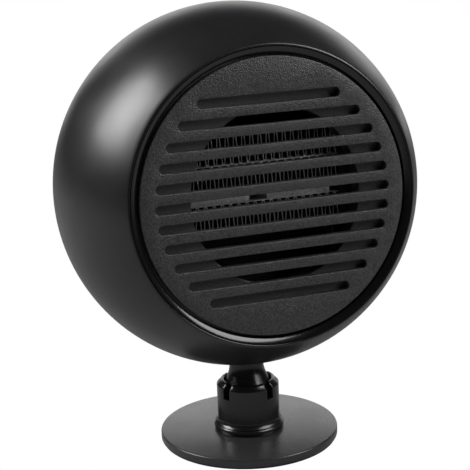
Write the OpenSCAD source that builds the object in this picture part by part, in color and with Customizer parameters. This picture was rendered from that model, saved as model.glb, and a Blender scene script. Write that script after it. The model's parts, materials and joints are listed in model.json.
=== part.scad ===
// Small ball-mounted ceramic fan heater.
// A round head with a flat slotted face turns on a ball held by four spring fingers of a post,
// which stands on a round foot. Inside: a finned ceramic element with an axial fan behind it.
// Row frame: origin at the centre of the foot's underside, +Z up, the face looks along -Y.
// Head frame (see in_head): +X right, +Y up, +Z out of the face, origin at the head's centre.

/* [Head shell] */
// Outer radius of the round head
head_r = 61.5; // [55:0.5:75]
// Wall of both shells
shell_wall = 2.2; // [1.8:0.1:2.6]
// How deep the flat face cuts into the front of the sphere
face_cut = 23.3; // [21.5:0.1:25]
// Distance from the head's centre back to the seam between the shells
seam_s = 26; // [24:0.5:28]
// How deep the flat hub cuts into the back of the sphere
hub_cut = 4; // [3.5:0.1:5.5]
// Upward tilt of the head as stored
head_tilt = 4.6; // [0:0.1:6]

/* [Face] */
// Width of the plain lip left round the opening
lip_w = 0.7; // [0.4:0.1:1]
// Radial width of the sloped bezel ring
bezel_w = 2; // [1.5:0.1:2.4]
// Depth of the bezel's slope
bezel_drop = 1.2; // [0.8:0.1:2.6]
// Open gap between bezel and grille
grille_gap = 0.9; // [0.6:0.1:1.2]
// Thickness of the grille plate
grille_t = 2.5; // [2:0.1:3]
// How far the grille's face lies behind the lip
grille_inset = 0.5; // [0.2:0.1:0.8]
// Width of a grille slot
slot_w = 3.1; // [2.4:0.1:3.6]
// Spacing of the grille slots
slot_pitch = 6.28; // [5.8:0.01:6.6]
// Number of grille slots
slot_count = 11; // [9:2:11]
// Radius of the circle that the slot ends lie on
slot_reach = 39.4; // [37:0.1:40]
// Radius of the air outlet in the plate behind the grille
outlet_r = 28.6; // [27:0.1:30]
// Distance of the air outlet to the right of the grille's centre
outlet_x = 1.7; // [0:0.1:2]

/* [Heater] */
// Height of one corrugated fin row
fin_h = 9.25; // [8:0.05:9.6]
// Period of the corrugation
fin_pitch = 2.8; // [2.4:0.1:3.4]
// Number of corrugations in a row
fin_count = 19; // [17:1:19]
// Depth of the fins and stones along the air flow
fin_depth = 15; // [12:0.5:15]
// Sheet thickness of the fins
fin_t = 0.3; // [0.2:0.05:0.4]
// Length of one ceramic stone
stone_l = 22; // [20:0.5:23]
// Thickness of a ceramic stone
stone_t = 2.4; // [2:0.1:2.6]
// Space between the two stones
stone_gap = 6; // [4:0.5:7]
// Thickness of each electrode and of the divider strip
plate_t = 0.4; // [0.3:0.05:0.5]
// Wall of the frame round the fins
frame_wall = 1.7; // [1.4:0.1:2]

/* [Fan] */
// Side of the square fan frame
fan_side = 80; // [76:0.5:80]
// Depth of the fan frame
fan_depth = 25; // [24:0.5:26]
// Number of fan blades
blade_count = 7; // [5:1:9]
// Radius of the fan hub
fan_hub_r = 17; // [16:0.5:18]

/* [Ball mount] */
// Radius of the ball
ball_r = 8.5; // [8:0.1:9]
// Height of the ball's centre above the foot
ball_rise = 13.5; // [13.2:0.1:15]
// Distance from the ball's centre to the head's centre, as a gap under the head
neck_gap = 10.9; // [10.5:0.1:13]
// Radius of the neck between ball and head
neck_r = 5.95; // [5:0.05:6]
// Length of plain neck between the head and the neck's flare
neck_plain = 3.36; // [2:0.02:4]
// Wall of the post outside the ball
post_wall = 2.3; // [2.2:0.1:3.5]
// Width of the gaps between the fingers
finger_gap = 2.8; // [2:0.1:3.2]
// Turn of the fingers about the post
finger_turn = -19.5; // [-45:0.5:45]

/* [Foot] */
// Radius of the foot disc
foot_r = 30.9; // [28:0.1:40]
// Thickness of the foot disc
foot_t = 2.8; // [2.4:0.1:4]
// Thickness of the pad under the foot
pad_t = 0.6; // [0.6:0.1:1.2]

/* [Hidden] */
$fn = 96;

eps = 0.01;                                  // overshoot of a cutter past the face it cuts
loose = 0.1;                                 // clearance between pieces that only locate each other
run = 0.05;                                  // running clearance of a pin or shaft

// head shell
inner_r = head_r - shell_wall;
face_s = head_r - face_cut;                  // from the head's centre to the face
hub_s = head_r - hub_cut;                    // from the head's centre back to the hub
face_r = sqrt(head_r * head_r - face_s * face_s);
opening_r = face_r - lip_w;
lug_w = 10;
lug_t = 3;
front_lug_r = 38.6;
carrier_lug_r = inner_r - 8;
rear_lug_r = 44;
baffle_angles = [45, 135, 225, 315];
carrier_angles = [30, 150, 210, 330];
rear_angles = [45, 135, 225, 315];
peg_angles = [0, 90, 180, 270];

// face
bezel_r = opening_r - loose;
grille_r = bezel_r - bezel_w - grille_gap;
grille_s = face_s - grille_inset;            // front of the grille
grille_back = grille_s - grille_t;
stand_off = 0.8;
baffle_s = grille_back - stand_off;          // front of the baffle
baffle_t = 1.5;
baffle_back = baffle_s - baffle_t;
baffle_r = sqrt(inner_r * inner_r - baffle_s * baffle_s) - 0.6;
collar_wall = 1.4;
collar_l = 4.4;
peg_r = 1.3;
peg_ring = grille_r - 2.8;
baffle_screw_ring = 42;

// small screws: pilot, shank, head
screw_r = 1.25;
screw_head_r = 2.4;
screw_head_t = 1.3;

// heater stack, measured upwards from the middle of the outlet
stone_y = -1.9;                              // underside of the stones
upper_plate_y = stone_y + stone_t;
middle_y = upper_plate_y + plate_t;
divider_y = middle_y + fin_h;
upper_y = divider_y + plate_t;
stack_top = upper_y + fin_h;
lower_plate_y = stone_y - plate_t;
lower_y = lower_plate_y - fin_h;
bank_l = fin_count * fin_pitch;
plate_l = bank_l + 1;
tab_w = 6;
tab_l = 38;                                  // reach of an electrode tab from the centre
end_block = 5;
carrier_s = 9;                               // back of the carrier plate
carrier_t = 2;
frame_s = carrier_s + carrier_t;             // back of the element frame
fin_s = frame_s + 0.5;
frame_d = fin_depth + 1;
frame_half = plate_l / 2 + end_block;
carrier_r = sqrt(inner_r * inner_r - (carrier_s + carrier_t) * (carrier_s + carrier_t)) - 0.6;
frame_top = stack_top + frame_wall;
frame_bottom = lower_y - frame_wall;
ear_r = 3.2;
ear_t = 2;
ear_rise = 2.7;                              // how far the ears' holes lie outside the frame
ear_x = frame_half - ear_r;
ear_ys = [frame_bottom - ear_rise, frame_top + ear_rise];

// fan, from its back to its front
fan_front = carrier_s;
fan_back = fan_front - fan_depth;
fan_bore = fan_side / 2 - 1.7;
fan_hole = 35.75 * fan_side / 80;            // hole offset of a square fan
blade_r = fan_bore - 1;
blade_t = 1.2;
blade_chord = 16;
blade_pitch = 42;
strut_t = 2;
strut_w = 3.2;
strut_turn = 20;
flange_t = 4;
fan_wall = 1.4;
fan_post_r = 3.6;
tube_r = 4;
tube_floor = 0.8;
bush_r = 2.6;
shaft_r = 1.5;
hub_wall = 1.4;
hub_front = fan_front - 5;
hub_back = fan_back + strut_t + 0.8;
hub_skin = 0.8;                              // left over the shaft's end
magnet_t = 1.5;
magnet_r = fan_hub_r - hub_wall;
core_r = magnet_r - magnet_t - 0.8;
core_back = hub_back + 2;
core_l = 9;
core_hub_r = tube_r + 3;
core_inset = 2.5;                            // bare tube at each end of the core
tooth_w = 4;
shoe_w = 14;
shoe_t = 1.2;
coil_wrap = 1.2;
bush_l = 4;

// cut-out, fuse and wires
thermostat_x = 43;
thermostat_y = 4;
thermostat_r = 6.5;
thermostat_t = 3.6;
cap_r = 4.9;
cap_t = 1.4;
blade_tab = [3, 0.6, 4.6];
blade_tab_x = 3.2;
wire_x = 45;
wire_r = 0.9;
wire_back = -18;                             // where the leads turn towards the switch
fan_wire_r = 0.8;
wire_hole_r = 5;
fuse_r = 2.1;
fuse_l = 11;
fuse_y = -16;
fuse_rise = 7;                               // height of the fuse above the carrier
lead_r = 0.5;
lead_l = 4;

// rear cover
hub_r = sqrt(head_r * head_r - hub_s * hub_s);
vent_w = 2.4;
vent_pitch = 5.2;
vent_outer = 41;
vent_inner = hub_r + 2.5;
vent_rows = 7;                               // rows each side of the middle one

// rocker switch on the rear hub
switch_y = 3;
switch_w = 21;
switch_h = 15;
switch_rim = 2;
switch_d = 15;
cut_w = 19;
cut_h = 13;
rocker_w = 16;
rocker_h = 9;
rocker_s = 0.6;                              // pivot's depth in front of the hub's face
rocker_pin_r = 1;
rocker_in = 1.2;                             // from the pivot back
rocker_out = 3.2;                            // from the pivot out
dish_r = 9.2;
dish_depth = 0.8;
trim_w = 2;                                  // squares that take off the rear corners
trim_turn = 35;
terminal_l = 7;
cavity_w = rocker_w + 0.5;
cavity_h = rocker_h + 1.8;
cavity_d = 5;

// cord inlet in the rear hub
inlet_y = -14;
inlet_r = 2.75;
inlet_neck_r = 4;
inlet_flange_r = 5.2;
inlet_flange_t = 1.4;

// ball mount
post_r = ball_r + post_wall;
head_lift = head_r + neck_gap;
foot_top = pad_t + foot_t;
ball_z = foot_top + ball_rise;
post_floor = 2;
socket_r = ball_r + 0.15;                    // spherical hold of the fingers
bore_r = ball_r + 0.2;
liner_in = ball_r + 0.1;
liner_out = liner_in + 0.55;
seat_in = liner_out + 0.12;
seat_r = bore_r - 0.2;
seat_cut = 5;                                // depth of the seat's rim under the ball's centre
liner_angle = 42;
collar_r = post_r + 1.4;
collar_h = 2.6;
finger_rise = 4.2;                           // finger tips above the ball's centre
finger_wall_rise = 2.4;                       // end of the straight outer wall
hold_rise = 2.6;                             // where the fingers leave the ball
gap_floor = 1.1;                             // bottom of the gaps under the ball's centre
tip_r = 0.85;
tip_out = post_r - 1.3;                      // outer radius at the finger tips
flare_angle = 66;                            // from the neck's axis to where the flare meets the ball
flare_r = ball_r * sin(flare_angle);
flare_low = ball_r * cos(flare_angle);
flare_h = neck_gap - neck_plain - flare_low; // the flare ends where the plain neck starts
stud_r = 3;
stud_end = 0.6;                              // stud left past the nut
neck_seat = sqrt(head_r * head_r - neck_r * neck_r);
boss_r = 7.5;
boss_in = inner_r - 1.7;                     // flat inner end of the neck boss
washer_t = 1;
nut_t = 4;
nut_r = 5.77;
foot_screw_r = 2;
foot_screw_head_r = 3.8;
foot_screw_cone = 2;

// colours
shell_black = "#1a1a1b";
gloss_black = "#080808";
matt_black = "#2c2c2d";
fin_silver = "#b9bbbd";
stone_grey = "#e2e0d8";
pps_black = "#202020";
steel = "#8d8f92";
brass = "#b99a52";

// placing helpers

module in_head() {
    translate([0, 0, ball_z])
        rotate([-head_tilt, 0, 0])
            translate([0, 0, head_lift])
                rotate([90, 0, 0])
                    children();
}

module around(angles, radius) {
    for (a = angles)
        rotate([0, 0, a])
            translate([radius, 0, 0])
                children();
}

// runs along the head's neck axis, z counted downwards from the head's centre
module along_neck() {
    rotate([90, 0, 0])
        children();
}

module tube(outer, inner, z0, z1) {
    difference() {
        translate([0, 0, z0])
            cylinder(r = outer, h = z1 - z0);
        translate([0, 0, z0 - 1])
            cylinder(r = inner, h = z1 - z0 + 2);
    }
}

module slot_bar(x0, x1, y, w, z0, z1) {
    translate([0, y, z0])
        linear_extrude(z1 - z0)
            union() {
                translate([x0 + w / 2, -w / 2])
                    square([x1 - x0 - w, w]);
                translate([x0 + w / 2, 0])
                    circle(r = w / 2);
                translate([x1 - w / 2, 0])
                    circle(r = w / 2);
            }
}

module lugs(angles, r0, z0, thickness = lug_t) {
    intersection() {
        sphere(r = inner_r + shell_wall / 2, $fn = 160);
        for (a = angles)
            rotate([0, 0, a])
                translate([r0, -lug_w / 2, z0])
                    cube([head_r - r0, lug_w, thickness]);
    }
}

// countersunk screw whose head is flush at z = top, pointing down
module flat_screw(top, length) {
    translate([0, 0, top - screw_head_t])
        cylinder(r1 = screw_r, r2 = screw_head_r, h = screw_head_t);
    translate([0, 0, top - length])
        cylinder(r = screw_r, h = length - screw_head_t + eps);
}

// pan-head screw seated at z = seat, shank going to -z
module pan_screw(seat, length) {
    difference() {
        union() {
            translate([0, 0, seat])
                cylinder(r = screw_head_r, h = screw_head_t);
            translate([0, 0, seat - length])
                cylinder(r = screw_r, h = length + eps);
        }
        translate([-screw_head_r, -0.3, seat + screw_head_t - 0.6])
            cube([2 * screw_head_r, 0.6, 1]);
        translate([-0.3, -screw_head_r, seat + screw_head_t - 0.6])
            cube([0.6, 2 * screw_head_r, 1]);
    }
}

module segment(a, b, r) {
    d = b - a;
    translate(a)
        rotate([0, acos(d.z / norm(d)), atan2(d.y, d.x)])
            cylinder(r = r, h = norm(d), $fn = 24);
}

module wire(points, r) {
    for (i = [0 : len(points) - 2])
        segment(points[i], points[i + 1], r);
    for (i = [1 : len(points) - 2])
        translate(points[i])
            sphere(r = 1.08 * r, $fn = 24);
}

// foot

module base_pad() {
    color("#161616")
        cylinder(r = foot_r - 0.5, h = pad_t);
}

module foot_disc() {
    color("#303032")
        difference() {
            translate([0, 0, pad_t])
                rotate_extrude()
                    polygon([[0, 0], [foot_r - 0.3, 0], [foot_r, 0.3], [foot_r, foot_t - 0.5],
                             [foot_r - 0.5, foot_t], [0, foot_t]]);
            translate([0, 0, pad_t - eps])
                cylinder(r1 = foot_screw_head_r + eps, r2 = foot_screw_r + loose - eps,
                         h = foot_screw_cone + 2 * eps);
            translate([0, 0, pad_t])
                cylinder(r = foot_screw_r + loose, h = foot_t + 1);
        }
}

module foot_screw() {
    color(steel) {
        translate([0, 0, pad_t])
            cylinder(r1 = foot_screw_head_r, r2 = foot_screw_r, h = foot_screw_cone);
        translate([0, 0, pad_t + foot_screw_cone - eps])
            cylinder(r = foot_screw_r, h = foot_t - foot_screw_cone + post_floor);
    }
}

// Post with four spring fingers. The outline goes up the outside, over the rounded finger tip
// and down the inside: straight hold, then the ball's own curve, then the bore.
module collet_post() {
    hold_r = sqrt(socket_r * socket_r - hold_rise * hold_rise);
    color("#1c1c1d")
        translate([0, 0, foot_top])
            difference() {
                union() {
                    cylinder(r = post_r, h = ball_rise + finger_wall_rise);
                    translate([0, 0, ball_rise + finger_wall_rise - eps])
                        cylinder(r1 = post_r, r2 = tip_out,
                                 h = finger_rise - finger_wall_rise - tip_r + eps);
                    translate([0, 0, ball_rise + finger_rise - tip_r])
                        rotate_extrude()
                            translate([tip_out - tip_r, 0])
                                circle(r = tip_r);
                    // rounded collar at the foot
                    cylinder(r = collar_r, h = collar_h / 2);
                    translate([0, 0, collar_h / 2])
                        rotate_extrude()
                            translate([collar_r - collar_h / 2, 0])
                                circle(r = collar_h / 2);
                }
                translate([0, 0, -collar_h])
                    cylinder(r = 2 * collar_r, h = collar_h);
                // bore for seat and liner
                translate([0, 0, post_floor])
                    cylinder(r = bore_r, h = ball_rise - post_floor);
                translate([0, 0, ball_rise])
                    sphere(r = socket_r, $fn = 128);
                translate([0, 0, ball_rise])
                    cylinder(r = hold_r, h = finger_rise + 1);
                // hole for the screw from below
                translate([0, 0, -1])
                    cylinder(r = foot_screw_r, h = post_floor + 2);
                // gaps between the fingers
                for (a = [45, 135])
                    rotate([0, 0, a + finger_turn])
                        translate([-2 * post_r, -finger_gap / 2, ball_rise - gap_floor])
                            cube([4 * post_r, finger_gap, finger_rise + gap_floor + 1]);
            }
}

// cup under the ball: it turns with the ball about the post's axis
module ball_seat() {
    color("#d8d6cf")
        difference() {
            translate([0, 0, foot_top + post_floor + loose])
                cylinder(r = seat_r, h = ball_rise - post_floor - loose - seat_cut);
            translate([0, 0, ball_z])
                sphere(r = seat_in, $fn = 128);
        }
}

// thin cap between seat and ball: it leans sideways in the seat
module ball_liner() {
    color("#c9c2ae")
        translate([0, 0, ball_z])
            difference() {
                sphere(r = liner_out, $fn = 128);
                sphere(r = liner_in, $fn = 128);
                translate([0, 0, -liner_out * cos(liner_angle)])
                    cylinder(r = 2 * liner_out, h = 3 * liner_out);
            }
}

// neck

module neck_stem() {
    color("#1c1c1d")
        in_head()
            along_neck() {
                translate([0, 0, head_lift])
                    sphere(r = ball_r, $fn = 128);
                translate([0, 0, neck_seat])
                    cylinder(r = neck_r, h = head_lift - neck_seat);
                // flare that runs into the ball
                translate([0, 0, head_lift - flare_low - flare_h])
                    cylinder(r1 = neck_r, r2 = flare_r, h = flare_h);
                translate([0, 0, boss_in - washer_t - nut_t - stud_end])
                    cylinder(r = stud_r, h = neck_seat - boss_in + washer_t + nut_t + stud_end + eps);
            }
}

module neck_washer() {
    color(steel)
        in_head()
            along_neck()
                tube(boss_r - 1, stud_r + loose, boss_in - washer_t, boss_in);
}

module neck_nut() {
    color(steel)
        in_head()
            along_neck()
                difference() {
                    translate([0, 0, boss_in - washer_t - nut_t])
                        cylinder(r = nut_r, h = nut_t, $fn = 6);
                    translate([0, 0, boss_in - washer_t - nut_t - 1])
                        cylinder(r = stud_r + run, h = nut_t + 2);
                }
}

// face

module front_shell() {
    color(shell_black)
        in_head()
            difference() {
                union() {
                    difference() {
                        sphere(r = head_r, $fn = 200);
                        sphere(r = inner_r, $fn = 200);
                        translate([0, 0, face_s])
                            cylinder(r = head_r, h = head_r);
                        translate([0, 0, -seam_s - 2 * head_r])
                            cylinder(r = 2 * head_r, h = 2 * head_r);
                        cylinder(r = opening_r, h = head_r);
                    }
                    lugs(baffle_angles, front_lug_r, baffle_back - lug_t);
                    lugs(carrier_angles, carrier_lug_r, carrier_s - lug_t);
                    lugs(rear_angles, rear_lug_r, -seam_s + run, lug_t - run);
                    // boss round the neck stud
                    along_neck()
                        translate([0, 0, boss_in])
                            cylinder(r = boss_r, h = shell_wall);
                }
                around(baffle_angles, baffle_screw_ring)
                    translate([0, 0, baffle_back - lug_t - 1])
                        cylinder(r = screw_r, h = lug_t + 2);
                around(carrier_angles, carrier_lug_r + 4)
                    translate([0, 0, carrier_s - lug_t - 1])
                        cylinder(r = screw_r, h = lug_t + 2);
                around(rear_angles, rear_lug_r + 4)
                    translate([0, 0, -seam_s - 1])
                        cylinder(r = screw_r, h = lug_t + 2);
                along_neck() {
                    cylinder(r = stud_r + loose, h = head_r + 1);
                    translate([0, 0, neck_seat])
                        cylinder(r = neck_r + loose, h = head_r);
                }
            }
}

module bezel_ring() {
    slope_in = bezel_r - bezel_w;
    color(gloss_black)
        in_head()
            rotate_extrude($fn = 160)
                polygon([[bezel_r, baffle_s], [bezel_r, face_s - 0.2], [bezel_r - 0.25, face_s],
                         [slope_in, face_s - bezel_drop], [slope_in, baffle_s]]);
}

function slot_half(y, reach) = sqrt(reach * reach - y * y);

module front_grille() {
    color(matt_black)
        in_head() {
            difference() {
                translate([0, 0, grille_back])
                    rotate_extrude($fn = 160)
                        polygon([[0, 0], [grille_r, 0], [grille_r, grille_t - 0.4],
                                 [grille_r - 0.4, grille_t], [0, grille_t]]);
                for (i = [-(slot_count - 1) / 2 : (slot_count - 1) / 2])
                    slot_bar(-slot_half(i * slot_pitch, slot_reach), slot_half(i * slot_pitch, slot_reach),
                             i * slot_pitch, slot_w, grille_back - 1, grille_s + 1);
            }
            // shouldered pegs, staked over behind the baffle
            around(peg_angles, peg_ring) {
                translate([0, 0, baffle_s])
                    cylinder(r = 2.1, h = stand_off + eps);
                translate([0, 0, baffle_back - eps])
                    cylinder(r = peg_r, h = baffle_t + 2 * eps);
                translate([0, 0, baffle_back - 0.9])
                    cylinder(r = 2.1, h = 0.9);
            }
        }
}

module outlet_baffle() {
    color("#232324")
        in_head()
            difference() {
                union() {
                    translate([0, 0, baffle_back])
                        cylinder(r = baffle_r, h = baffle_t, $fn = 160);
                    translate([outlet_x, 0, baffle_back - collar_l])
                        cylinder(r = outlet_r + collar_wall, h = collar_l + eps);
                }
                translate([outlet_x, 0, baffle_back - collar_l - 1])
                    cylinder(r = outlet_r, h = collar_l + baffle_t + 2, $fn = 160);
                around(peg_angles, peg_ring)
                    translate([0, 0, baffle_back - 1])
                        cylinder(r = peg_r + loose, h = baffle_t + 2);
                around(baffle_angles, baffle_screw_ring) {
                    translate([0, 0, baffle_s - screw_head_t])
                        cylinder(r1 = screw_r, r2 = screw_head_r, h = screw_head_t);
                    translate([0, 0, baffle_back - 1])
                        cylinder(r = screw_r, h = baffle_t + 1 - screw_head_t + eps);
                    translate([0, 0, baffle_s - eps])
                        cylinder(r = screw_head_r, h = 1);
                }
            }
}

module baffle_screws() {
    color(steel)
        in_head()
            around(baffle_angles, baffle_screw_ring)
                flat_screw(baffle_s, baffle_t + lug_t);
}

// heater element

module element_frame() {
    color(pps_black)
        in_head()
            difference() {
                union() {
                    translate([-frame_half, frame_bottom, frame_s])
                        cube([2 * frame_half, frame_top - frame_bottom, frame_d]);
                    for (x = [-ear_x, ear_x]) {
                        translate([x - ear_r, ear_ys[0], frame_s])
                            cube([2 * ear_r, ear_ys[1] - ear_ys[0], ear_t]);
                        for (y = ear_ys)
                            translate([x, y, frame_s])
                                cylinder(r = ear_r, h = ear_t);
                    }
                }
                translate([-bank_l / 2, lower_y, frame_s - 1])
                    cube([bank_l, stack_top - lower_y, frame_d + 2]);
                // grooves for the plates' ends, open to the front
                for (y = [lower_plate_y, divider_y, upper_plate_y])
                    translate([-plate_l / 2, y, fin_s])
                        cube([plate_l, plate_t, frame_d]);
                // ways out for the electrode tabs
                for (y = [lower_plate_y, upper_plate_y])
                    translate([-frame_half - 1, y, fin_s])
                        cube([frame_half, plate_t, tab_w]);
                for (x = [-ear_x, ear_x], y = ear_ys)
                    translate([x, y, frame_s - 1])
                        cylinder(r = screw_r, h = ear_t + 2);
            }
}

// Points of one side of the corrugated sheet. side is 1 for its upper face and -1 for its lower.
function fin_side(side) = [
    for (i = [0 : fin_count - 1], p = [[0.1, -1, 0], [0.4, -1, 1], [0.6, 1, 1], [0.9, 1, 0]])
        [(i + p.x) * fin_pitch + side * p.y * fin_t / 2,
         p.z * (fin_h - fin_t) + (side > 0 ? fin_t : 0)]
];

function reversed(list) = [for (i = [len(list) - 1 : -1 : 0]) list[i]];

module fin_row(y0) {
    translate([-bank_l / 2, y0, fin_s])
        linear_extrude(fin_depth)
            polygon(concat([[0, 0], [0, fin_t]], fin_side(1),
                           [[bank_l, fin_t], [bank_l, 0]], reversed(fin_side(-1))));
}

module upper_fins() {
    color(fin_silver)
        in_head()
            fin_row(upper_y);
}

module middle_fins() {
    color(fin_silver)
        in_head()
            fin_row(middle_y);
}

module lower_fins() {
    color(fin_silver)
        in_head()
            fin_row(lower_y);
}

module stack_plate(y) {
    translate([-plate_l / 2, y, fin_s])
        cube([plate_l, plate_t, fin_depth]);
}

module divider_strip() {
    color(fin_silver)
        in_head()
            stack_plate(divider_y);
}

module electrode(y) {
    stack_plate(y);
    translate([-tab_l, y, fin_s])
        cube([tab_l - plate_l / 2 + eps, plate_t, tab_w]);
}

module upper_electrode() {
    color(fin_silver)
        in_head()
            electrode(upper_plate_y);
}

module lower_electrode() {
    color(fin_silver)
        in_head()
            electrode(lower_plate_y);
}

module ceramic_stones() {
    color(stone_grey)
        in_head()
            for (i = [0, 1])
                translate([-bank_l / 2 + i * (stone_l + stone_gap), stone_y, fin_s])
                    cube([stone_l, stone_t, fin_depth]);
}

module element_screws() {
    color(steel)
        in_head()
            for (x = [-ear_x, ear_x], y = ear_ys)
                translate([x, y, 0])
                    pan_screw(frame_s + ear_t, ear_t + carrier_t);
}

module element_carrier() {
    color("#2b2b2c")
        in_head()
            difference() {
                translate([0, 0, carrier_s])
                    cylinder(r = carrier_r, h = carrier_t, $fn = 160);
                translate([-bank_l / 2, lower_y, carrier_s - 1])
                    cube([bank_l, stack_top - lower_y, carrier_t + 2]);
                around(carrier_angles, carrier_lug_r + 4)
                    translate([0, 0, carrier_s - 1])
                        cylinder(r = screw_r, h = carrier_t + 2);
                for (x = [-1, 1], y = [-1, 1])
                    translate([x * fan_hole, y * fan_hole, carrier_s - 1])
                        cylinder(r = screw_r, h = carrier_t + 2);
                for (x = [-ear_x, ear_x], y = ear_ys)
                    translate([x, y, carrier_s - 1])
                        cylinder(r = screw_r, h = carrier_t + 2);
                // way for the wires
                translate([-wire_x, 0, carrier_s - 1])
                    cylinder(r = wire_hole_r, h = carrier_t + 2);
            }
}

module carrier_screws() {
    color(steel)
        in_head()
            around(carrier_angles, carrier_lug_r + 4)
                pan_screw(carrier_s + carrier_t, carrier_t + lug_t);
}

// bimetal cut-out on the carrier, beside the element
module thermostat() {
    color("#3a2a1c")
        in_head()
            translate([thermostat_x, thermostat_y, frame_s]) {
                cylinder(r = thermostat_r, h = thermostat_t);
                translate([0, 0, thermostat_t - eps])
                    cylinder(r = cap_r, h = cap_t);
                for (x = [-blade_tab_x, blade_tab_x])
                    translate([x - blade_tab.x / 2, -blade_tab.y / 2, thermostat_t + cap_t - 2 * eps])
                        cube(blade_tab);
            }
}

module thermal_fuse() {
    color("#c9cbd0")
        in_head()
            translate([frame_half + fuse_r, fuse_y, frame_s + fuse_rise])
                rotate([-90, 0, 0]) {
                    cylinder(r = fuse_r, h = fuse_l);
                    translate([0, 0, -lead_l])
                        cylinder(r = lead_r, h = fuse_l + 2 * lead_l);
                }
}

// fan

module fan_frame() {
    color("#1b1b1c")
        in_head()
            difference() {
                union() {
                    difference() {
                        translate([0, 0, fan_back])
                            linear_extrude(fan_depth)
                                square(fan_side, center = true);
                        // waist between the two flanges
                        difference() {
                            translate([-fan_side, -fan_side, fan_back + flange_t])
                                cube([2 * fan_side, 2 * fan_side, fan_depth - 2 * flange_t]);
                            cylinder(r = fan_bore + fan_wall, h = 4 * fan_depth, center = true);
                            for (x = [-1, 1], y = [-1, 1])
                                translate([x * fan_hole, y * fan_hole, fan_back])
                                    cylinder(r = fan_post_r, h = fan_depth);
                        }
                        translate([0, 0, fan_back - 1])
                            cylinder(r = fan_bore, h = fan_depth + 2, $fn = 160);
                    }
                    // motor plate on four struts, and the bearing tube
                    translate([0, 0, fan_back])
                        cylinder(r = fan_hub_r, h = strut_t);
                    for (a = [0, 90, 180, 270])
                        rotate([0, 0, a + strut_turn])
                            translate([fan_hub_r - 1, -strut_w / 2, fan_back])
                                cube([fan_bore - fan_hub_r + 2, strut_w, strut_t]);
                    translate([0, 0, fan_back])
                        cylinder(r = tube_r, h = core_back + core_l - fan_back);
                }
                translate([0, 0, fan_back + tube_floor])
                    cylinder(r = bush_r, h = fan_depth);
                for (x = [-1, 1], y = [-1, 1])
                    translate([x * fan_hole, y * fan_hole, fan_back - 1])
                        cylinder(r = screw_r, h = fan_depth + 2);
            }
}

module fan_screws() {
    color(steel)
        in_head()
            for (x = [-1, 1], y = [-1, 1])
                translate([x * fan_hole, y * fan_hole, 0])
                    pan_screw(carrier_s + carrier_t, carrier_t + 2 * flange_t);
}

module fan_bushes() {
    color(brass)
        in_head() {
            tube(bush_r, shaft_r + run, fan_back + 2 * tube_floor, fan_back + 2 * tube_floor + bush_l);
            tube(bush_r, shaft_r + run, core_back + core_l - bush_l, core_back + core_l);
        }
}

module stator_core() {
    core_s = core_back + core_inset;
    stack_l = core_l - 2 * core_inset;
    color("#6f7174")
        in_head()
            difference() {
                union() {
                    translate([0, 0, core_s])
                        cylinder(r = core_hub_r, h = stack_l);
                    for (a = [0, 90, 180, 270])
                        rotate([0, 0, a]) {
                            translate([0, -tooth_w / 2, core_s])
                                cube([core_r - 1, tooth_w, stack_l]);
                            intersection() {
                                tube(core_r, core_r - shoe_t, core_s, core_s + stack_l);
                                translate([0, -shoe_w / 2, core_back])
                                    cube([core_r + 1, shoe_w, core_l]);
                            }
                        }
                }
                translate([0, 0, core_back])
                    cylinder(r = tube_r, h = core_l);
            }
}

module stator_coils() {
    coil_x = core_hub_r + 0.4;
    color("#a8562a")
        in_head()
            for (a = [0, 90, 180, 270])
                rotate([0, 0, a])
                    difference() {
                        translate([coil_x, -tooth_w / 2 - coil_wrap, core_back + core_inset - coil_wrap])
                            cube([core_r - 2 * shoe_t - coil_x, tooth_w + 2 * coil_wrap,
                                  core_l - 2 * core_inset + 2 * coil_wrap]);
                        translate([0, -tooth_w / 2, core_back + core_inset])
                            cube([core_r, tooth_w, core_l - 2 * core_inset]);
                    }
}

module fan_rotor() {
    color("#232325")
        in_head() {
            difference() {
                translate([0, 0, hub_back])
                    cylinder(r = fan_hub_r, h = hub_front - hub_back);
                translate([0, 0, hub_back - 1])
                    cylinder(r = fan_hub_r - hub_wall, h = hub_front - hub_back - 1);
                translate([0, 0, hub_back])
                    cylinder(r = shaft_r, h = hub_front - hub_back - hub_skin);
            }
            intersection() {
                for (i = [0 : blade_count - 1])
                    rotate([0, 0, i * 360 / blade_count])
                        translate([0, 0, (hub_back + hub_front) / 2])
                            rotate([blade_pitch, 0, 0])
                                translate([fan_hub_r - 0.6, -blade_chord / 2, -blade_t / 2])
                                    cube([blade_r, blade_chord, blade_t]);
                tube(blade_r, fan_hub_r - 0.5, hub_back + 0.5, hub_front);
            }
        }
}

module rotor_magnet() {
    color("#3d3f42")
        in_head()
            tube(magnet_r, magnet_r - magnet_t, core_back, core_back + core_l);
}

module rotor_shaft() {
    color(steel)
        in_head()
            translate([0, 0, fan_back + 1])
                cylinder(r = shaft_r, h = hub_front - hub_skin - fan_back - 1);
}

// rear

module vent_slots() {
    for (i = [-vent_rows : vent_rows]) {
        y = i * vent_pitch;
        outer = slot_half(y, vent_outer);
        if (abs(y) > vent_inner)
            slot_bar(-outer, outer, y, vent_w, -head_r - 1, -seam_s);
        else {
            inner = slot_half(y, vent_inner) + vent_w / 2;
            slot_bar(inner, outer, y, vent_w, -head_r - 1, -seam_s);
            slot_bar(-outer, -inner, y, vent_w, -head_r - 1, -seam_s);
        }
    }
}

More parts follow.
